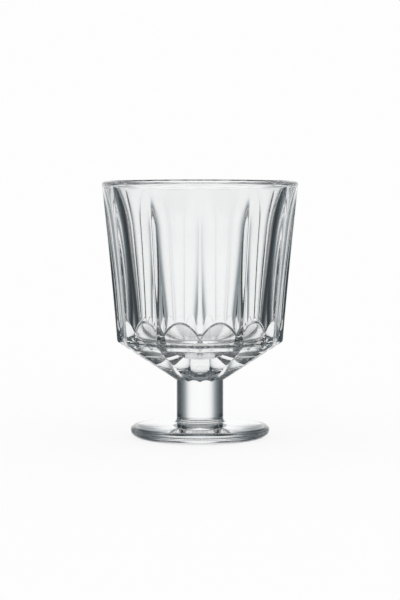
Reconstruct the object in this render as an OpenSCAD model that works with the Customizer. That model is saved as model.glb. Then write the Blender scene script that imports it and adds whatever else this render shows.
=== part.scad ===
// Parfait glass: a fluted bowl, a short round stem and a domed round foot.
// The three pieces are pressed apart and fused end to end while hot.
// Millimetres, +Z up, origin at the centre of the face that the foot rests on.

/* [Foot] */
// Diameter of the foot at its widest line
foot_d = 64; // [56:0.5:76]
// Radius of the foot's edge below its widest line
foot_lower_round = 3.45; // [2:0.05:5]
// Radius of the foot's edge above its widest line
foot_upper_round = 1.95; // [1:0.05:3]
// Rise of the foot's domed top from the edge to the collar
foot_rise = 1.6; // [0.8:0.1:4]
// Radius of the fillet that turns the foot up into the stem
collar_fillet = 1.4; // [0.8:0.1:3]

/* [Stem] */
// Diameter of the stem
stem_d = 21.6; // [16:0.2:26]
// Length of the stem between the foot and the bowl
stem_len = 17.2; // [10:0.2:60]

/* [Bowl] */
// Length of the plain neck that meets the stem
neck_h = 0.6; // [0.4:0.1:4]
// Height of the sloping base, from the neck to the shoulder
base_h = 17.7; // [13:0.1:24]
// Height of the wall, from the shoulder to the top of the lip
wall_h = 73.8; // [60:0.1:110]
// Diameter over the ridges at the shoulder
shoulder_d = 76; // [70:0.5:84]
// Set-back of the bevel on each side of the shoulder
shoulder_bevel = 0.6; // [0.3:0.1:1.5]
// Diameter of the rim band
rim_d = 90; // [86:0.5:104]
// Step from the ridges out to the rim band
rim_step = 0.25; // [0.1:0.05:0.8]
// Height of the plain rim band, lip included
rim_band_h = 3.4; // [2.4:0.1:6]
// Thickness of the glass at the lip
lip_t = 3.3; // [2.4:0.1:4]

/* [Flutes] */
// Number of flutes round the bowl
flute_n = 12; // [10:1:16]
// Radius of the hollow of a wall flute
flute_radius = 65; // [40:1:80]
// Height over which the flutes run out below the rim band
flute_runout_h = 11.8; // [6:0.2:20]
// Width of the land left along each ridge
ridge_land = 0.5; // [0.3:0.1:1.2]
// Angle by which the base flutes are hollowed, past a flat facet
base_hollow = 1.8; // [0.8:0.1:3]

/* [Cavity] */
// Height of the facets' upper corners above the shoulder
knee_h = 6.1; // [4:0.1:12]
// Thickness of the glass behind a ridge at those corners
knee_wall = 6.6; // [6:0.1:9]
// Inward bow of the cavity's wall between the facets and the lip
cavity_bow = 1.8; // [0.8:0.1:2.6]
// Depth of the floor below those corners
floor_drop = 7.7; // [6:0.1:12]
// Lean of the facets away from upright
facet_lean = 19; // [12:1:30]
// Radius of the dish of the floor
floor_dish_r = 200; // [100:5:400]

/* [Hidden] */
$fn = 96;

// How far a cutter runs past the glass that it cuts
past = 1;
// How far the lip's round and the run-out cone reach into the glass beside them
sink = 0.1;
// Distance of a base flute's point from the axis, along the flute
flute_point = 3;
// Length by which that point is cut blunt
point_blunt = 4;
// Height of plain taper between the tops of the facets and the bow of the cavity's wall
bow_clear = 1;

foot_r = foot_d / 2;
stem_r = stem_d / 2;
shoulder_r = shoulder_d / 2;
rim_r = rim_d / 2;

function unit(v) = v / norm(v);

// Heights from the resting face up
foot_edge_t = foot_lower_round + foot_upper_round;
collar_z = foot_edge_t + foot_rise;
stem_z = collar_z + collar_fillet;
neck_z = stem_z + stem_len;
base_z = neck_z + neck_h;
shoulder_z = base_z + base_h;
lip_z = shoulder_z + wall_h;
band_z = lip_z - rim_band_h;

// Foot: the dome passes through the top of the edge and the foot of the collar
collar_r = stem_r + collar_fillet;
dome_edge_r = foot_r - foot_upper_round;
dome_fall = pow(dome_edge_r, 2) + pow(foot_edge_t, 2) - pow(collar_r, 2) - pow(collar_z, 2);
dome_centre_z = dome_fall / (2 * (foot_edge_t - collar_z));
dome_r = norm([collar_r, collar_z - dome_centre_z]);

// Ridge line of the wall
ridge_top_r = rim_r - rim_step;
function ridge_r(z) = shoulder_r + (ridge_top_r - shoulder_r) * (z - shoulder_z) / (band_z - shoulder_z);

// Wall flutes: a leaning cylinder leaves a land of ridge_land between neighbours
flute_pitch = 360 / flute_n;
function land_angle(r) = flute_pitch / 2 - asin(ridge_land / 2 / r);
function flute_r(r) =
    r * cos(land_angle(r)) + sqrt(pow(flute_radius, 2) - pow(r * sin(land_angle(r)), 2)) - flute_radius;
flute_low_r = flute_r(shoulder_r);
flute_top_r = flute_r(ridge_top_r);
flute_lean = atan((flute_top_r - flute_low_r) / (band_z - shoulder_z));
runout_z = band_z - flute_runout_h;
runout_r = flute_low_r + (runout_z - shoulder_z) * tan(flute_lean) - sink;

// Base flutes: cones that open from points beside the axis, where the ridges of the base meet
base_angle = atan(base_h / (shoulder_r - stem_r));
apex_z = base_z - stem_r * tan(base_angle);
base_land = land_angle(shoulder_r);
hollow_angle = atan(tan(base_angle) / cos(base_land)) + base_hollow;
cone_half = atan(
    (1 - cos(base_angle) * cos(base_land) * cos(hollow_angle) - sin(base_angle) * sin(hollow_angle))
    / (cos(base_angle) * cos(base_land) * sin(hollow_angle) - sin(base_angle) * cos(hollow_angle)));
base_slant = norm([shoulder_r, shoulder_z - apex_z]);
cone_spread = atan(tan(cone_half) * base_slant / (base_slant - flute_point));
cone_len = base_slant + past;

// Cavity: a round bowed taper above, flat facets below, a dished floor
lip_round = lip_t / 2 + sink;
mouth_z = lip_z - lip_round;
mouth_r = rim_r - lip_t;
knee_z = shoulder_z + knee_h;
knee_r = ridge_r(knee_z) - knee_wall;
floor_z = knee_z - floor_drop;
cavity_taper = (mouth_r - knee_r) / (mouth_z - knee_z);
function cavity_r(z) = knee_r + cavity_taper * (z - knee_z);

// Bow: an arc from the taper just above the tops of the facets to the lip
arch_z = knee_z + knee_r * (1 - cos(flute_pitch / 2)) / (tan(facet_lean) - cavity_taper);
bow_z = arch_z + bow_clear;
bow_low = [cavity_r(bow_z), bow_z];
bow_top = [mouth_r, mouth_z];
bow_r = pow(norm(bow_top - bow_low), 2) / (8 * cavity_bow) + cavity_bow / 2;
bow_out = unit([bow_top.y - bow_low.y, bow_low.x - bow_top.x]);
bow_centre = (bow_low + bow_top) / 2 + bow_out * (bow_r - cavity_bow);

// Shoulder, with the directions of the base and of the ridge line that meet there
shoulder = [shoulder_r, shoulder_z];
to_base = unit([stem_r, base_z] - shoulder);
to_rim = unit([ridge_top_r, band_z] - shoulder);

module around_flutes() {
    for (i = [0 : flute_n - 1])
        rotate([0, 0, (i + 0.5) * flute_pitch])
            children();
}

module foot_profile() {
    intersection() {
        translate([0, dome_centre_z])
            circle(dome_r, $fn = 360);
        polygon([
            [0, 0],
            [foot_r - foot_lower_round, 0],
            [foot_r - foot_lower_round, foot_lower_round],
            [dome_edge_r, foot_lower_round],
            [dome_edge_r, stem_z],
            [0, stem_z]
        ]);
    }
    translate([foot_r - foot_lower_round, foot_lower_round])
        intersection() {
            circle(foot_lower_round);
            translate([0, -foot_lower_round])
                square(foot_lower_round);
        }
    translate([dome_edge_r, foot_lower_round])
        intersection() {
            circle(foot_upper_round);
            square(foot_upper_round);
        }
    difference() {
        translate([0, foot_edge_t])
            square([collar_r, stem_z - foot_edge_t]);
        translate([collar_r, stem_z])
            circle(collar_fillet);
    }
}

// Bowl before it is fluted, its base carried down inside the neck
module bowl_blank() {
    root_z = base_z - neck_h / 2;
    rotate_extrude()
        polygon([
            [0, root_z],
            [(root_z - apex_z) / tan(base_angle), root_z],
            shoulder + to_base * shoulder_bevel,
            shoulder + to_rim * shoulder_bevel,
            [ridge_top_r, band_z],
            [0, band_z]
        ]);
}

module wall_flute() {
    translate([flute_low_r, 0, shoulder_z])
        rotate([0, flute_lean, 0])
            translate([flute_radius, 0, -base_h / 2])
                cylinder(h = base_h / 2 + wall_h + past, r = flute_radius);
}

module base_flute() {
    translate([0, 0, apex_z])
        rotate([0, 90 - hollow_angle, 0])
            translate([0, 0, flute_point])
                rotate([0, cone_spread, 0])
                    translate([0, 0, point_blunt])
                        cylinder(
                            h = cone_len - point_blunt,
                            r1 = point_blunt * tan(cone_spread),
                            r2 = cone_len * tan(cone_spread));
}

// Rim band and lip, with the cone that the flutes run out on
module rim_band() {
    inner_r = cavity_r(runout_z) - past;
    rotate_extrude() {
        polygon([
            [inner_r, runout_z],
            [runout_r, runout_z],
            [ridge_top_r, band_z - rim_step],
            [rim_r, band_z],
            [rim_r, mouth_z],
            [inner_r, mouth_z]
        ]);
        translate([rim_r - lip_round, mouth_z])
            circle(lip_round);
    }
}

module neck() {
    neck_top_z = apex_z + stem_r * tan(hollow_angle) + past;
    translate([0, 0, neck_z])
        cylinder(h = neck_top_z - neck_z, r = stem_r);
}

module cavity() {
    top_z = lip_z + past;
    low_z = floor_z - past;
    difference() {
        rotate_extrude()
            intersection() {
                difference() {
                    polygon([
                        [0, low_z],
                        [cavity_r(low_z), low_z],
                        [cavity_r(top_z), top_z],
                        [0, top_z]
                    ]);
                    translate(bow_centre)
                        circle(bow_r, $fn = 720);
                }
                translate([0, floor_z + floor_dish_r])
                    circle(floor_dish_r, $fn = 360);
            }
        around_flutes()
            translate([knee_r * cos(flute_pitch / 2), 0, knee_z])
                rotate([0, facet_lean, 0])
                    translate([0, -knee_r, -2 * floor_drop])
                        cube([knee_r, 2 * knee_r, 4 * floor_drop]);
    }
}

module bowl() {
    color([0.86, 0.91, 0.93, 0.5])
        difference() {
            union() {
                difference() {
                    bowl_blank();
                    around_flutes() {
                        wall_flute();
                        base_flute();
                    }
                }
                rim_band();
                neck();
            }
            cavity();
        }
}

module stem() {
    color([0.80, 0.86, 0.89, 0.5])
        translate([0, 0, stem_z])
            cylinder(h = stem_len, r = stem_r);
}

module foot() {
    color([0.83, 0.89, 0.91, 0.5])
        rotate_extrude()
            foot_profile();
}

bowl();
stem();
foot();
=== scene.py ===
"""Looks of a fluted parfait glass: bowl, stem and foot of clear pressed glass on a pale studio floor."""

import math

import bmesh
import bpy
import numpy as np
from bpy.props import FloatProperty, FloatVectorProperty, IntProperty, PointerProperty
from bpy.types import Operator, Panel, PropertyGroup
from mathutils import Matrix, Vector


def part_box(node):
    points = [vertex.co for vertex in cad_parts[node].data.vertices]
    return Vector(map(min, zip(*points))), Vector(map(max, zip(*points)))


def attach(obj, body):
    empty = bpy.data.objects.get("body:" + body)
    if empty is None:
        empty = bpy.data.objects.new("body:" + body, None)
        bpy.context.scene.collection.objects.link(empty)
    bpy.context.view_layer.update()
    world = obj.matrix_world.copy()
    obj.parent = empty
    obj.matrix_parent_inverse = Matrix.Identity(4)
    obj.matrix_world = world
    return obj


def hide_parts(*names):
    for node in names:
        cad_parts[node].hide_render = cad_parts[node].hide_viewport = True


bl_info = {
    "name": "Parfait Glass",
    "version": (1, 0, 0),
    "blender": (4, 5, 0),
    "location": "View3D > Sidebar > Glass",
    "description": "Models a fluted parfait glass around its solids",
    "category": "Add Mesh",
}

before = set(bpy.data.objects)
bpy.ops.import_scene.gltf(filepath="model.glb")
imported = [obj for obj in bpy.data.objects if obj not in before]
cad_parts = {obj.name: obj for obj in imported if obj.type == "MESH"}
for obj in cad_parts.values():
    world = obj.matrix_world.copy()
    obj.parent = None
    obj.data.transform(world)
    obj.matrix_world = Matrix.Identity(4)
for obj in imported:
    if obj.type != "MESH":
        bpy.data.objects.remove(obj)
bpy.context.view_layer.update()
MM = 0.001
BOWL_LOW, BOWL_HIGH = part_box("bowl")
STEM_LOW, STEM_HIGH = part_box("stem")
FOOT_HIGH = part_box("foot")[1]

# Columns round a plain piece, columns across one flute, sides of the studio floor
COLUMNS = 192
FLUTE_COLUMNS = 24
FLOOR_SIDES = 128
# Faces that meet at less than this angle are shaded as one smooth surface
SMOOTH_ANGLE = math.radians(22)
# Rings of the hollow under the foot, as shares of the radius that rests on the table
UNDER_SHARES = (0.45, 0.9)
# Innermost ring of the cavity's floor, as a share of the floor's radius
POLE_SHARE = 0.01
# Passes that find where a facet of the cavity meets the dished floor
MEETING_PASSES = 8
# A hollow with less depth, or less curvature in 1/m, counts as flat
FLAT_DEPTH = 0.0005 * MM
FLAT_CURVATURE = 1e-6
QUARTER_TURN = math.pi / 2

# An end face above this height is fused to the next piece; the one below it rests on the table
FUSED_ABOVE = 2.0 * MM
# Material slot of those fused faces
FUSED_SLOT = 1

# The studio floor lies just under the foot, so that the two faces stay apart
FLOOR_HEIGHT = -0.05 * MM
# Enough bounces for light to cross every wall of the glass
BOUNCES = 32
# Focal length fitted to the photo, in its pixels, and the photo's height in pixels
FOCAL_PIXELS = 2185
PHOTO_HEIGHT = 600
# Height of the camera's sensor in millimetres
SENSOR_HEIGHT = 36.0
BLACK = (0.0, 0.0, 0.0, 1.0)
WHITE = (1.0, 1.0, 1.0, 1.0)
# Powers that leave a grey as it is
UNTINTED = (1.0, 1.0, 1.0)

# Brightness of the studio by degrees away from straight behind the glass
SURROUND = (
    (0, 1.0), (12, 0.985), (17, 0.92), (21, 0.78), (25, 0.56), (29, 0.35), (33, 0.21), (38, 0.125),
    (44, 0.08), (52, 0.05), (60, 0.03), (70, 0.022), (100, 0.02), (180, 0.02),
)
# Brightness of the low lights beside and in front of the glass, by degrees round from straight behind it
SIDE_LIGHTS = (
    (0, 0.0), (70, 0.02), (80, 0.4), (90, 0.6), (100, 0.4), (108, 0.25), (116, 0.5), (135, 0.95),
    (156, 0.6), (168, 0.5), (180, 0.65),
)
# Heights in the surround are sines of the angle above level
# Low lights: the middle of their band, and how far from it they are still full and then gone
LIGHT_HEIGHT = -0.22
LIGHT_FULL = 0.11
LIGHT_GONE = 0.24
# Table: where it begins to show and hides all else, then where it begins to brighten and is brightest
TABLE_START = -0.55
TABLE_FULL = -0.85
UNDER_START = -0.72
UNDER_FULL = -0.9


class Rings:
    """Rings along each stretch of a piece's outline."""

    FOOT_LOWER_EDGE = 11
    FOOT_UPPER_EDGE = 9
    DOME = 13
    COLLAR = 7
    STEM = 12
    BASE = 28
    SHOULDER = 6
    WALL = 63
    BAND = 5
    LIP_OUTSIDE = 11
    LIP_INSIDE = 9
    CAVITY = 43
    LEDGE_EDGE = 5
    FACET = 8
    FLOOR_FILLET = 9
    FLOOR = 20


def length(name, description, default):
    """A length in metres that a user may change."""
    return FloatProperty(
        name=name, description=description, default=default, min=0.0, precision=5, unit="LENGTH"
    )


def number(name, description, default):
    """A plain number that a user may change."""
    return FloatProperty(name=name, description=description, default=default, precision=4)


def tilt(name, description, degrees):
    """An angle that a user may change."""
    return FloatProperty(
        name=name, description=description, default=math.radians(degrees), subtype="ANGLE"
    )


def tint(name, description, default):
    """A linear colour that a user may change."""
    return FloatVectorProperty(
        name=name, description=description, default=default, size=3, min=0.0, max=1.0, subtype="COLOR"
    )


def powers(name, description, default):
    """A power for each of red, green and blue that a user may change."""
    return FloatVectorProperty(name=name, description=description, default=default, size=3, min=0.0)


class FootSizes(PropertyGroup):
    """Sizes of the domed foot."""

    radius: length("Radius", "Radius of the foot at its widest line", FOOT_HIGH.x)
    top: length("Top", "Height of the face that carries the stem", FOOT_HIGH.z)
    widest: length("Widest line", "Height of the widest line", 3.45 * MM)
    contact: length("Contact radius", "Radius of the ring that rests on the table", 27.65 * MM)
    edge_radius: length("Edge radius", "Radius where the rounded edge meets the dome", 29.85 * MM)
    edge: length("Edge height", "Height where the rounded edge meets the dome", 5.4 * MM)
    dome: length("Dome height", "Height of the dome beside the collar", 7.0 * MM)
    kick: length("Kick", "Hollow of the underside at its centre", 0.5 * MM)


class StemSizes(PropertyGroup):
    """Sizes of the round stem."""

    radius: length("Radius", "Radius of the stem", STEM_HIGH.x)
    bottom: length("Bottom", "Height of the face on the foot", STEM_LOW.z)
    top: length("Top", "Height of the face under the bowl", STEM_HIGH.z)


class BowlSizes(PropertyGroup):
    """Sizes of the fluted bowl and its cavity."""

    flutes: IntProperty(name="Flutes", description="Number of flutes round the bowl", default=12, min=3)
    rim: length("Rim radius", "Outside radius of the rim band", BOWL_HIGH.x)
    lip: length("Lip height", "Height of the top of the lip", BOWL_HIGH.z)
    neck: length("Neck height", "Height of the face on the stem", BOWL_LOW.z)
    lip_round: length("Lip rounding", "Height of the rounded lip", 1.65 * MM)
    lip_crest: length("Lip crest", "Distance of the lip's highest line from the outside of the rim", 2.2 * MM)
    lip_square: number("Lip power", "Shape of the lip's inner corner: 1 is round, less is squarer", 0.45)
    mouth: length("Mouth radius", "Inside radius of the mouth", 41.7 * MM)
    band: length("Band height", "Height of the lower edge of the rim band", 114.8 * MM)
    band_ridge: length("Ridge radius at the band", "Radius of the ridges below the band", 44.75 * MM)
    shoulder: length("Shoulder height", "Height of the ridges at the shoulder", 43.9 * MM)
    shoulder_ridge: length("Shoulder radius", "Radius of the ridges at the shoulder", 38.0 * MM)
    shoulder_round: length("Shoulder rounding", "Set-back of the rounded shoulder", 0.9 * MM)
    bow: length("Bow", "Hollow of the ridge line between shoulder and band", 0.28 * MM)
    base: length("Base height", "Height where the base ridges meet the stem", 26.3 * MM)
    base_rise: length("Base rise", "Rise of a base flute above its ridges at the stem", 0.8 * MM)
    hollow_top: length("Upper hollow", "Radius of the hollow of a flute below its run-out", 72.0 * MM)
    hollow_low: length("Lower hollow", "Radius of the hollow of a flute at the shoulder", 52.0 * MM)
    deepen: length("Deepening height", "Height below which the flutes grow deeper", 100.0 * MM)
    runout: length("Run-out height", "Height where the flutes begin to run out", 97.0 * MM)
    faded: length("Faded height", "Height where the flutes would have become a round wall", 124.0 * MM)
    soft_top: number("Upper softness", "Rounding of the ridges at the band, as a share of half a flute", 0.02)
    soft_low: number("Lower softness", "Rounding of the ridges at the shoulder, as such a share", 0.03)
    knee: length("Knee height", "Height of the upper corners of the inner facets", 50.0 * MM)
    knee_radius: length("Knee radius", "Inside radius at those corners", 32.2 * MM)
    cavity_bow: length("Cavity bow", "Inward bow of the cavity's wall between facets and lip", 1.8 * MM)
    facet_lean: tilt("Facet lean", "Lean of the inner facets from upright", 19)
    ledge: length("Ledge", "Width of the narrow ledge along the top of a facet", 0.95 * MM)
    ledge_fall: length("Ledge fall", "Height of that ledge", 0.7 * MM)
    ledge_round: length("Ledge rounding", "Set-back of the rounded edges of the ledge", 0.4 * MM)
    floor: length("Floor height", "Height of the centre of the cavity's floor", 42.3 * MM)
    floor_dish: length("Floor dish", "Radius of the dish of the floor", 200.0 * MM)
    floor_fillet: length("Floor fillet", "Set-back of the fillet round the floor", 3.2 * MM)


class GlassFinish(PropertyGroup):
    """Colour and surface of the clear glass."""

    clear: tint("Clear", "Colour of the clearest glass", (1.0, 1.0, 1.0))
    cool: tint("Cool", "Colour of the faint cool streaks", (0.985, 0.994, 0.996))
    index: number("Index", "Index of refraction", 1.52)
    haze: number("Haze", "Roughness of the duller patches", 0.012)
    patches: number("Patches", "Dull patches in a metre", 45.0)
    streaks: number("Streaks", "Cool streaks in a metre across the glass", 90.0)
    ripple: length("Ripple depth", "Depth of the ripples that pressing leaves", 0.0004 * MM)
    ripple_span: length("Ripple span", "Distance between ripples across the glass", 14.0 * MM)
    stretch: number("Stretch", "How many times taller than wide streaks and ripples are", 4.0)


class StageLook(PropertyGroup):
    """Colours and lights of the studio and place of the camera."""

    paper: tint("Paper", "Colour of the floor and backdrop", (0.985, 0.985, 0.985))
    shade: powers("Shade", "Powers that cool the dimmer parts of the surround", (1.10, 1.0, 0.95))
    panel_rise: number("Panel rise", "Fading of the bright panel upwards, against sideways", 0.9)
    panel_fall: number("Panel fall", "Fading of the bright panel downwards, against sideways", 0.1)
    table: number("Table", "Brightness of the table close beside the glass", 0.15)
    table_under: number("Table below", "Brightness of the table straight below the glass", 0.85)
    shadow: number("Shadow", "Share of the floor's brightness that a shadow can take away", 0.14)
    floor_radius: length("Floor radius", "Radius of the round floor", 3.0)
    camera_back: length("Camera distance", "Distance of the camera in front of the axis", 1.0)
    camera_height: length("Camera height", "Height of the camera above the table", 134.2 * MM)
    camera_pitch: tilt("Camera pitch", "How far the camera looks down", 4.07)
    focal: number("Focal length", "Focal length in picture heights", FOCAL_PIXELS / PHOTO_HEIGHT)


class Wire:
    """One value in a node tree. Arithmetic on it adds Math nodes."""

    def __init__(self, tree, socket):
        self.tree = tree
        self.socket = socket

    def maths(self, operation, *values):
        """Adds a Math node on the values, this wire among them."""
        return add_node(self.tree, "ShaderNodeMath", {"operation": operation}, dict(enumerate(values)))

    def at_least(self, other):
        return self.maths("MAXIMUM", self, other)

    def at_most(self, other):
        return self.maths("MINIMUM", self, other)

    def angle_from(self, along):
        return self.maths("ARCTAN2", self, along)

    def __add__(self, other):
        return self.maths("ADD", self, other)

    def __radd__(self, other):
        return self.maths("ADD", other, self)

    def __sub__(self, other):
        return self.maths("SUBTRACT", self, other)

    def __rsub__(self, other):
        return self.maths("SUBTRACT", other, self)

    def __mul__(self, other):
        return self.maths("MULTIPLY", self, other)

    def __rmul__(self, other):
        return self.maths("MULTIPLY", other, self)

    def __pow__(self, other):
        return self.maths("POWER", self, other)

    def __rpow__(self, other):
        return self.maths("POWER", other, self)

    def __abs__(self):
        return self.maths("ABSOLUTE", self)


def feed(tree, socket, value):
    """Links a wire to a socket, or sets the socket's own value."""
    if isinstance(value, Wire):
        tree.links.new(value.socket, socket)
    else:
        socket.default_value = value


def set_stops(ramp, stops):
    """Gives a colour ramp its stops, each a position and a colour."""
    while len(ramp.elements) < len(stops):
        ramp.elements.new(1.0)
    for element, (position, colour) in zip(ramp.elements, stops):
        element.position = position
        element.color = (*colour, 1.0)


def add_node(tree, kind, settings=None, inputs=None, output=0):
    """Adds a node, its settings first and its sockets next. Gives one output, if it has any, as a wire."""
    node = tree.nodes.new(kind)
    for key, value in (settings or {}).items():
        if key == "stops":
            set_stops(node.color_ramp, value)
        else:
            setattr(node, key, value)
    for key, value in (inputs or {}).items():
        feed(tree, node.inputs[key], value)
    return Wire(tree, node.outputs[output]) if node.outputs else None


def empty_tree(owner):
    """The node tree of a material or a world, with nothing in it yet."""
    owner.use_nodes = True
    owner.node_tree.nodes.clear()
    return owner.node_tree


def opaque(colour, level=1.0):
    """A colour, brightened or dimmed to a level, as a colour socket takes it."""
    return (*[channel * level for channel in colour], 1.0)


def mix(tree, factor, first, second, blend="MIX"):
    """Two colours mixed by a factor. Sockets go by number, because a Mix node repeats their names."""
    return add_node(
        tree, "ShaderNodeMix", {"data_type": "RGBA", "blend_type": blend},
        {0: factor, 6: first, 7: second}, output=2,
    )


def noise(tree, place, scale, detail, roughness):
    """Soft noise from 0 to 1."""
    return add_node(
        tree, "ShaderNodeTexNoise", {"noise_dimensions": "3D"},
        {"Vector": place, "Scale": scale, "Detail": detail, "Roughness": roughness},
    )


def ease(tree, value, start, end, low=0.0, high=1.0):
    """A smooth change from low to high while a value goes from start to end."""
    return add_node(
        tree, "ShaderNodeMapRange", {"interpolation_type": "SMOOTHSTEP"},
        {"Value": value, "From Min": start, "From Max": end, "To Min": low, "To Max": high},
    )


def by_degrees(tree, aside, along, levels, shade):
    """Brightness by the angle between a direction and straight behind the glass, tinted by powers."""
    turn = aside.angle_from(along) * (1.0 / math.pi)
    stops = [(degrees / 180.0, [level ** power for power in shade]) for degrees, level in levels]
    return add_node(tree, "ShaderNodeValToRGB", {"stops": stops}, {0: turn})


def between(start, end, share):
    """The value at a share of the way from start to end."""
    return start + (end - start) * share


def smoothstep(share):
    """Smooth rise from 0 to 1."""
    share = np.clip(share, 0.0, 1.0)
    return share * share * (3.0 - 2.0 * share)


def hump(share):
    """Smooth hump that is 1 half-way and 0 at both ends."""
    return 4.0 * share * (1.0 - share)


def bend(start, corner, end, share):
    """The value at a share of the way along a curve that leaves for a corner and turns to an end."""
    rest = 1.0 - share
    return rest * rest * start + 2.0 * rest * share * corner + share * share * end


def steps(count, whole=1.0):
    """Even steps from 0 up to the whole, without the 0."""
    return np.linspace(0.0, whole, count + 1)[1:]


def set_back(corner, other, distance):
    """The points at a distance from the points of one ring towards those of another."""
    far = np.hypot(other[0] - corner[0], other[1] - corner[1])
    return [near + (away - near) * distance / far for near, away in zip(corner, other)]


class Turning:
    """The rings of a turned piece. Its columns are angles from the ridge that faces the viewer."""

    def __init__(self, angles, across=None):
        self.angles = angles
        self.across = across
        self.rings = []

    def ring(self, radius, height):
        """Adds a ring whose radius and height may differ from column to column."""
        shape = self.angles.shape
        self.rings.append((np.broadcast_to(radius, shape), np.broadcast_to(height, shape)))

    def turn_upright(self, radius, height, rings, power=1.0):
        """Adds a quarter oval that leaves the last ring level and ends upright. Powers below 1 square it."""
        start_radius, start_height = self.rings[-1]
        for turn in steps(rings, QUARTER_TURN):
            self.ring(
                between(start_radius, radius, math.sin(turn) ** power),
                between(height, start_height, math.cos(turn) ** power),
            )

    def turn_level(self, radius, height, rings):
        """Adds a quarter oval that leaves the last ring upright and ends level."""
        start_radius, start_height = self.rings[-1]
        for turn in steps(rings, QUARTER_TURN):
            self.ring(
                between(radius, start_radius, math.cos(turn)),
                between(start_height, height, math.sin(turn)),
            )

    def round_corner(self, index, distance, rings):
        """Puts a rounded corner in the place of one ring, set back towards the rings beside it."""
        before, corner, after = self.rings[index - 1:index + 2]
        start = set_back(corner, before, distance)
        end = set_back(corner, after, distance)
        self.rings[index:index + 1] = [
            tuple(bend(*track, share) for track in zip(start, corner, end))
            for share in np.linspace(0.0, 1.0, rings)
        ]

    def points(self, index):
        """The points of one ring, column by column."""
        radius, height = self.rings[index]
        return np.stack([radius * np.sin(self.angles), -radius * np.cos(self.angles), height], axis=1)


def plain_columns(count):
    """Evenly spaced columns of a plain round piece."""
    return Turning(np.arange(count) * 2.0 * math.pi / count)


def fluted_columns(flutes, per_flute):
    """Columns that crowd towards the ridges, where the glass bends most."""
    across = np.sin(QUARTER_TURN * np.linspace(-1.0, 1.0, per_flute, endpoint=False))
    starts = np.repeat(np.arange(flutes), per_flute)
    across = np.tile(across, flutes)
    return Turning((starts + 0.5 + across / 2) * 2.0 * math.pi / flutes, across)


def deselect_all():
    """Leaves nothing selected, the solids included."""
    if bpy.context.object and bpy.context.object.mode != "OBJECT":
        bpy.ops.object.mode_set(mode="OBJECT")
    bpy.ops.object.select_all(action="DESELECT")


def place_ring(mesh, points):
    """Moves the last ring of the edit mesh to its points, matched by their order round the axis."""
    mesh.verts.ensure_lookup_table()
    newest = mesh.verts[-len(points):]
    order = sorted(newest, key=lambda vertex: math.atan2(vertex.co.x, -vertex.co.y) % (2.0 * math.pi))
    for vertex, point in zip(order, points):
        vertex.co = point


def turn_piece(name, turned, closed_top):
    """A circle, extruded ring by ring and pressed to each ring's section, then closed at both ends."""
    deselect_all()
    count = len(turned.angles)
    # A third of a column off the line that columns are counted from, so that their order is certain
    offset = 2.0 * math.pi / count / 3
    bpy.ops.mesh.primitive_circle_add(
        vertices=count, radius=1.0, fill_type="NOTHING", rotation=(0, 0, offset)
    )
    bpy.ops.object.transform_apply(location=False, rotation=True, scale=False)
    piece = bpy.context.object
    piece.name = piece.data.name = name
    bpy.ops.object.mode_set(mode="EDIT")
    bpy.ops.mesh.select_mode(type="EDGE")
    bpy.ops.mesh.select_all(action="SELECT")
    place_ring(bmesh.from_edit_mesh(piece.data), turned.points(0))
    for index in range(1, len(turned.rings)):
        bpy.ops.mesh.extrude_region_move()
        place_ring(bmesh.from_edit_mesh(piece.data), turned.points(index))
    if closed_top:
        bpy.ops.mesh.edge_face_add()
    else:
        bpy.ops.mesh.merge(type="CENTER")
    bpy.ops.mesh.select_all(action="DESELECT")
    mesh = bmesh.from_edit_mesh(piece.data)
    for edge in mesh.edges:
        edge.select = edge.is_boundary
    mesh.select_flush(True)
    bpy.ops.mesh.edge_face_add()
    bpy.ops.mesh.select_all(action="SELECT")
    bpy.ops.mesh.normals_make_consistent(inside=False)
    bpy.ops.object.mode_set(mode="OBJECT")
    bpy.ops.object.shade_smooth_by_angle(angle=SMOOTH_ANGLE)
    return piece


def finish_piece(piece, node, finish):
    """Gives a piece its glass, clears its fused faces and lets it stand for its solid."""
    piece.data.materials.append(clear_glass(finish))
    piece.data.materials.append(fused_joint())
    for face in piece.data.polygons:
        # Only the end faces have more than four corners
        if len(face.vertices) > 4 and face.center.z > FUSED_ABOVE:
            face.material_index = FUSED_SLOT
    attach(piece, "root")
    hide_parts(node)


def clear_glass(finish):
    """Clear pressed glass: faint cool streaks, soft ripples and patches of slight haze."""
    name = "clear_glass"
    if name in bpy.data.materials:
        return bpy.data.materials[name]
    material = bpy.data.materials.new(name)
    tree = empty_tree(material)
    place = add_node(tree, "ShaderNodeTexCoord", output="Object")
    tall = add_node(
        tree, "ShaderNodeMapping", None, {"Vector": place, "Scale": (1.0, 1.0, 1.0 / finish.stretch)}
    )
    ripples = noise(tree, tall, 1.0 / finish.ripple_span, detail=1.0, roughness=0.4)
    streaks = noise(tree, tall, finish.streaks, detail=3.0, roughness=0.5)
    patches = noise(tree, place, finish.patches, detail=2.0, roughness=0.5)
    bump = add_node(
        tree, "ShaderNodeBump", None, {"Strength": 1.0, "Distance": finish.ripple, "Height": ripples}
    )
    glass = add_node(
        tree, "ShaderNodeBsdfPrincipled", None,
        {
            "Base Color": mix(tree, streaks, opaque(finish.clear), opaque(finish.cool)),
            "Roughness": patches * patches * finish.haze,
            "IOR": finish.index,
            "Transmission Weight": 1.0,
            "Normal": bump,
        },
    )
    add_node(tree, "ShaderNodeOutputMaterial", None, {"Surface": glass})
    return material


def fused_joint():
    """The face where two pieces have flowed together: nothing shows there."""
    name = "fused_joint"
    if name in bpy.data.materials:
        return bpy.data.materials[name]
    material = bpy.data.materials.new(name)
    tree = empty_tree(material)
    nothing = add_node(tree, "ShaderNodeBsdfPrincipled", None, {"Alpha": 0.0})
    add_node(tree, "ShaderNodeOutputMaterial", None, {"Surface": nothing})
    return material


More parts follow.
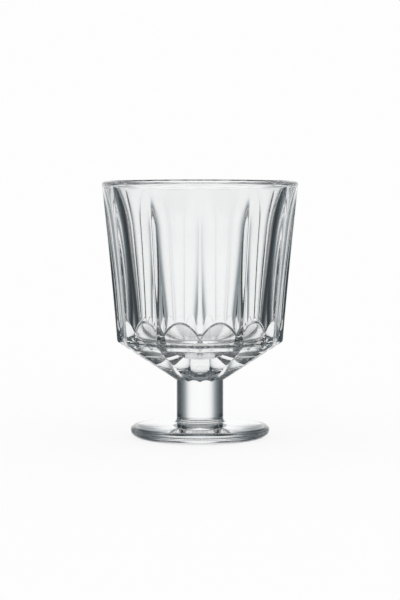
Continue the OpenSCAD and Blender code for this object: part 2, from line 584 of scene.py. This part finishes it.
class PARFAIT_OT_foot(Operator):
    """Model the domed foot with its rounded edge and collar"""

    bl_idname = "parfait.foot"
    bl_label = "Foot"

    def execute(self, context):
        sizes = context.scene.parfait_foot
        stem = context.scene.parfait_stem
        turned = plain_columns(COLUMNS)
        for share in UNDER_SHARES:
            turned.ring(sizes.contact * share, sizes.kick * (1.0 - share * share))
        turned.ring(sizes.contact, 0.0)
        turned.turn_upright(sizes.radius, sizes.widest, Rings.FOOT_LOWER_EDGE)
        turned.turn_level(sizes.edge_radius, sizes.edge, Rings.FOOT_UPPER_EDGE)
        collar = stem.radius + sizes.top - sizes.dome
        for share in steps(Rings.DOME):
            turned.ring(
                between(sizes.edge_radius, collar, share),
                between(sizes.edge, sizes.dome, 1.0 - (1.0 - share) ** 2),
            )
        turned.turn_upright(stem.radius, sizes.top, Rings.COLLAR)
        piece = turn_piece("foot_glass", turned, closed_top=True)
        finish_piece(piece, "foot", context.scene.parfait_finish)
        return {"FINISHED"}


class PARFAIT_OT_stem(Operator):
    """Model the plain round stem between foot and bowl"""

    bl_idname = "parfait.stem"
    bl_label = "Stem"

    def execute(self, context):
        sizes = context.scene.parfait_stem
        turned = plain_columns(COLUMNS)
        for height in np.linspace(sizes.bottom, sizes.top, Rings.STEM):
            turned.ring(sizes.radius, height)
        piece = turn_piece("stem_glass", turned, closed_top=True)
        finish_piece(piece, "stem", context.scene.parfait_finish)
        return {"FINISHED"}


def hollow_section(across, half, ridge, centre, softness):
    """Radius at each column of hollows that run from ridge to ridge, with the ridges rounded."""
    inward = 1.0 - np.abs(across)
    inward = (np.hypot(inward, softness) - softness) / (math.hypot(1.0, softness) - softness)
    angle = (1.0 - inward) * half
    flat = ridge * math.cos(half)
    depth = flat - centre
    if abs(depth) < FLAT_DEPTH:
        return flat / np.cos(angle)
    hollow = (ridge * ridge - 2.0 * ridge * centre * math.cos(half) + centre * centre) / (2.0 * depth)
    middle = centre + hollow
    reach = np.sqrt(np.maximum(hollow * hollow - (middle * np.sin(angle)) ** 2, 0.0))
    return middle * np.cos(angle) - math.copysign(1.0, hollow) * reach


def hollow_centre(ridge, half, curvature):
    """Radius at the middle of a hollow of that curvature between two ridges."""
    flat = ridge * math.cos(half)
    if abs(curvature) < FLAT_CURVATURE:
        return flat
    hollow = 1.0 / curvature
    reach = math.sqrt(hollow * hollow - (ridge * math.sin(half)) ** 2)
    return flat + math.copysign(reach, hollow) - hollow


class PARFAIT_OT_bowl(Operator):
    """Model the bowl: fluted base and wall, rim band, lip, cavity, inner facets and floor"""

    bl_idname = "parfait.bowl"
    bl_label = "Bowl"

    def execute(self, context):
        sizes = context.scene.parfait_bowl
        stem = context.scene.parfait_stem
        turned = fluted_columns(sizes.flutes, FLUTE_COLUMNS)
        turned.ring(stem.radius, sizes.neck)
        self.outside(turned, sizes, stem.radius)
        self.lip(turned, sizes)
        self.inside(turned, sizes)
        piece = turn_piece("bowl_glass", turned, closed_top=False)
        finish_piece(piece, "bowl", context.scene.parfait_finish)
        return {"FINISHED"}

    def section(self, turned, sizes, ridge, centre, rise):
        """Radius at each column of the flutes, at a rise from 0 at the shoulder to 1 at the band."""
        softness = between(sizes.soft_low, sizes.soft_top, rise)
        return hollow_section(turned.across, math.pi / sizes.flutes, ridge, centre, softness)

    def curvature(self, sizes, height, ridge):
        """Curvature of a flute's hollow. It grows downwards, and upwards it runs out towards a round wall."""
        low = smoothstep((sizes.deepen - height) / (sizes.deepen - sizes.shoulder))
        fade = smoothstep((height - sizes.runout) / (sizes.faded - sizes.runout))
        hollow = between(1.0 / sizes.hollow_top, 1.0 / sizes.hollow_low, low)
        return float(hollow * (1.0 - fade) - fade / ridge)

    def outside(self, turned, sizes, stem_radius):
        """Base flutes from the stem to the shoulder, then wall flutes up to the rim band."""
        half = math.pi / sizes.flutes
        arch = 1.0 - turned.across ** 2
        shoulder_curvature = self.curvature(sizes, sizes.shoulder, sizes.shoulder_ridge)
        shoulder_centre = hollow_centre(sizes.shoulder_ridge, half, shoulder_curvature)
        for share in np.linspace(0.0, 1.0, Rings.BASE):
            ridge = between(stem_radius, sizes.shoulder_ridge, share)
            centre = between(stem_radius, shoulder_centre, share)
            height = between(sizes.base, sizes.shoulder, share)
            rise = sizes.base_rise * (1.0 - share)
            radius = self.section(turned, sizes, ridge, centre, 0.0) if share > 0.0 else ridge
            turned.ring(radius, height + rise * arch)
        shoulder_ring = len(turned.rings) - 1
        # The first step up the wall is left out, because it lies in the rounded shoulder
        for share in steps(Rings.WALL)[1:]:
            height = between(sizes.shoulder, sizes.band, share)
            ridge = between(sizes.shoulder_ridge, sizes.band_ridge, share) - sizes.bow * hump(share)
            centre = hollow_centre(ridge, half, self.curvature(sizes, height, ridge))
            turned.ring(self.section(turned, sizes, ridge, centre, share), height)
        turned.round_corner(shoulder_ring, sizes.shoulder_round, Rings.SHOULDER)

    def lip(self, turned, sizes):
        """Rim band that the flutes run out into, and the lip, round outside and squarer inside."""
        fluted, band = turned.rings[-1]
        spring = sizes.lip - sizes.lip_round
        for share in steps(Rings.BAND):
            turned.ring(between(fluted, sizes.rim, smoothstep(share)), between(band, spring, share))
        turned.turn_level(sizes.rim - sizes.lip_crest, sizes.lip, Rings.LIP_OUTSIDE)
        turned.turn_upright(sizes.mouth, spring, Rings.LIP_INSIDE, sizes.lip_square)

    def inside(self, turned, sizes):
        """Round bowed taper, flat facets that cut it in arches below a narrow ledge, and the dished floor."""
        half = math.pi / sizes.flutes
        spring = sizes.lip - sizes.lip_round
        taper = (sizes.mouth - sizes.knee_radius) / (spring - sizes.knee)
        slope = math.tan(sizes.facet_lean)
        facing = np.cos(turned.across * half)
        flat = sizes.knee_radius * math.cos(half)
        arch = sizes.knee + (sizes.knee_radius * facing - flat) / (slope - facing * taper)

        def facet(height):
            return (flat - sizes.ledge + (height - sizes.knee) * slope) / facing

        def floor(radius):
            return sizes.floor + sizes.floor_dish - np.sqrt(sizes.floor_dish ** 2 - radius ** 2)

        for share in steps(Rings.CAVITY):
            height = between(spring, arch, share)
            straight = sizes.knee_radius + (height - sizes.knee) * taper
            turned.ring(straight - sizes.cavity_bow * hump(share), height)
        arch_ring = len(turned.rings) - 1

        meeting = facet(sizes.floor)
        for _ in range(MEETING_PASSES):
            meeting = facet(floor(meeting))
        meeting_height = floor(meeting)
        facet_top = arch - sizes.ledge_fall
        facet_length = np.hypot(facet(facet_top) - meeting, facet_top - meeting_height)
        fillet_top = between(meeting_height, facet_top, sizes.floor_fillet / facet_length)
        fillet_end = meeting - sizes.floor_fillet
        turned.ring(facet(facet_top), facet_top)
        for share in steps(Rings.FACET):
            height = between(facet_top, fillet_top, share)
            turned.ring(facet(height), height)
        turned.round_corner(arch_ring + 1, sizes.ledge_round, Rings.LEDGE_EDGE)
        turned.round_corner(arch_ring, sizes.ledge_round, Rings.LEDGE_EDGE)
        for share in steps(Rings.FLOOR_FILLET):
            turned.ring(
                bend(facet(fillet_top), meeting, fillet_end, share),
                bend(fillet_top, meeting_height, floor(fillet_end), share),
            )
        for share in np.linspace(1.0, POLE_SHARE, Rings.FLOOR)[1:]:
            turned.ring(fillet_end * share, floor(fillet_end * share))


class PARFAIT_OT_stage(Operator):
    """Set up the pale floor, the soft studio surround and the camera"""

    bl_idname = "parfait.stage"
    bl_label = "Stage"

    def execute(self, context):
        scene = context.scene
        look = scene.parfait_stage
        self.floor(look)
        self.surround(scene, look)
        self.camera(scene, look)
        scene.view_settings.view_transform = "Standard"
        scene.cycles.max_bounces = BOUNCES
        scene.cycles.glossy_bounces = BOUNCES
        scene.cycles.transmission_bounces = BOUNCES
        return {"FINISHED"}

    def floor(self, look):
        """A round floor that glows as pale as the backdrop and takes a faint shadow."""
        deselect_all()
        bpy.ops.mesh.primitive_circle_add(
            vertices=FLOOR_SIDES, radius=look.floor_radius, fill_type="NGON", location=(0, 0, FLOOR_HEIGHT)
        )
        floor = bpy.context.object
        floor.name = "floor"
        material = bpy.data.materials.new("floor_paper")
        tree = empty_tree(material)
        direct = add_node(tree, "ShaderNodeLightPath", output="Is Camera Ray")
        paper = add_node(
            tree, "ShaderNodeBsdfPrincipled", None,
            {
                "Base Color": opaque(look.paper, look.shadow),
                "Roughness": 1.0,
                "Specular IOR Level": 0.0,
                "Emission Color": mix(tree, direct, BLACK, opaque(look.paper, 1.0 - look.shadow)),
                "Emission Strength": 1.0,
            },
        )
        add_node(tree, "ShaderNodeOutputMaterial", None, {"Surface": paper})
        floor.data.materials.append(material)
        # The glass shows the table of the surround in place of this floor
        floor.visible_transmission = False
        floor.visible_glossy = False

    def surround(self, scene, look):
        """What the glass shows: a bright panel behind, dark sides that draw its edges, lights and a table."""
        world = bpy.data.worlds.new("studio")
        scene.world = world
        tree = empty_tree(world)
        direction = add_node(tree, "ShaderNodeTexCoord", output="Generated")
        across, along, up = (
            add_node(tree, "ShaderNodeSeparateXYZ", None, {"Vector": direction}, axis) for axis in "XYZ"
        )
        above = up.at_least(0.0) * look.panel_rise
        beneath = up.at_most(0.0) * look.panel_fall
        off_axis = (across ** 2.0 + above ** 2.0 + beneath ** 2.0) ** 0.5
        panel = by_degrees(tree, off_axis, along, SURROUND, look.shade)
        lights = by_degrees(tree, abs(across), along, SIDE_LIGHTS, UNTINTED)
        lights_band = ease(tree, abs(up - LIGHT_HEIGHT), LIGHT_FULL, LIGHT_GONE, 1.0, 0.0)
        studio = mix(tree, lights_band, panel, lights, "LIGHTEN")
        table = ease(tree, up, UNDER_START, UNDER_FULL, look.table, look.table_under)
        shown = mix(tree, ease(tree, up, TABLE_START, TABLE_FULL), studio, table)
        direct = add_node(tree, "ShaderNodeLightPath", output="Is Camera Ray")
        mirrored = add_node(tree, "ShaderNodeLightPath", output="Is Glossy Ray")
        through = add_node(tree, "ShaderNodeLightPath", output="Is Transmission Ray")
        plain = mix(tree, direct, WHITE, opaque(look.paper))
        colour = mix(tree, mirrored.at_least(through), plain, shown)
        light = add_node(tree, "ShaderNodeBackground", None, {"Color": colour, "Strength": 1.0})
        add_node(tree, "ShaderNodeOutputWorld", None, {"Surface": light})

    def camera(self, scene, look):
        """The camera at the photo's place and angle."""
        deselect_all()
        bpy.ops.object.camera_add(
            location=(0.0, -look.camera_back, look.camera_height),
            rotation=(QUARTER_TURN - look.camera_pitch, 0.0, 0.0),
        )
        camera = bpy.context.object
        camera.data.sensor_fit = "VERTICAL"
        camera.data.sensor_height = SENSOR_HEIGHT
        camera.data.lens = look.focal * SENSOR_HEIGHT
        scene.camera = camera


class PARFAIT_PT_panel(Panel):
    """Sidebar panel that lists the stage and the pieces of the glass"""

    bl_idname = "PARFAIT_PT_panel"
    bl_label = "Parfait Glass"
    bl_space_type = "VIEW_3D"
    bl_region_type = "UI"
    bl_category = "Glass"

    def draw(self, context):
        for operator in OPERATORS:
            self.layout.operator(operator.bl_idname)


GROUPS = {
    "parfait_foot": FootSizes,
    "parfait_stem": StemSizes,
    "parfait_bowl": BowlSizes,
    "parfait_finish": GlassFinish,
    "parfait_stage": StageLook,
}
OPERATORS = (PARFAIT_OT_stage, PARFAIT_OT_foot, PARFAIT_OT_stem, PARFAIT_OT_bowl)


def register():
    for name, group in GROUPS.items():
        bpy.utils.register_class(group)
        setattr(bpy.types.Scene, name, PointerProperty(type=group))
    for operator in OPERATORS:
        bpy.utils.register_class(operator)
    bpy.utils.register_class(PARFAIT_PT_panel)


def unregister():
    bpy.utils.unregister_class(PARFAIT_PT_panel)
    for operator in reversed(OPERATORS):
        bpy.utils.unregister_class(operator)
    for name, group in GROUPS.items():
        delattr(bpy.types.Scene, name)
        bpy.utils.unregister_class(group)


def main():
    """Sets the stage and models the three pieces."""
    register()
    bpy.ops.parfait.stage()
    bpy.ops.parfait.foot()
    bpy.ops.parfait.stem()
    bpy.ops.parfait.bowl()


if __name__ == "__main__":
    main()
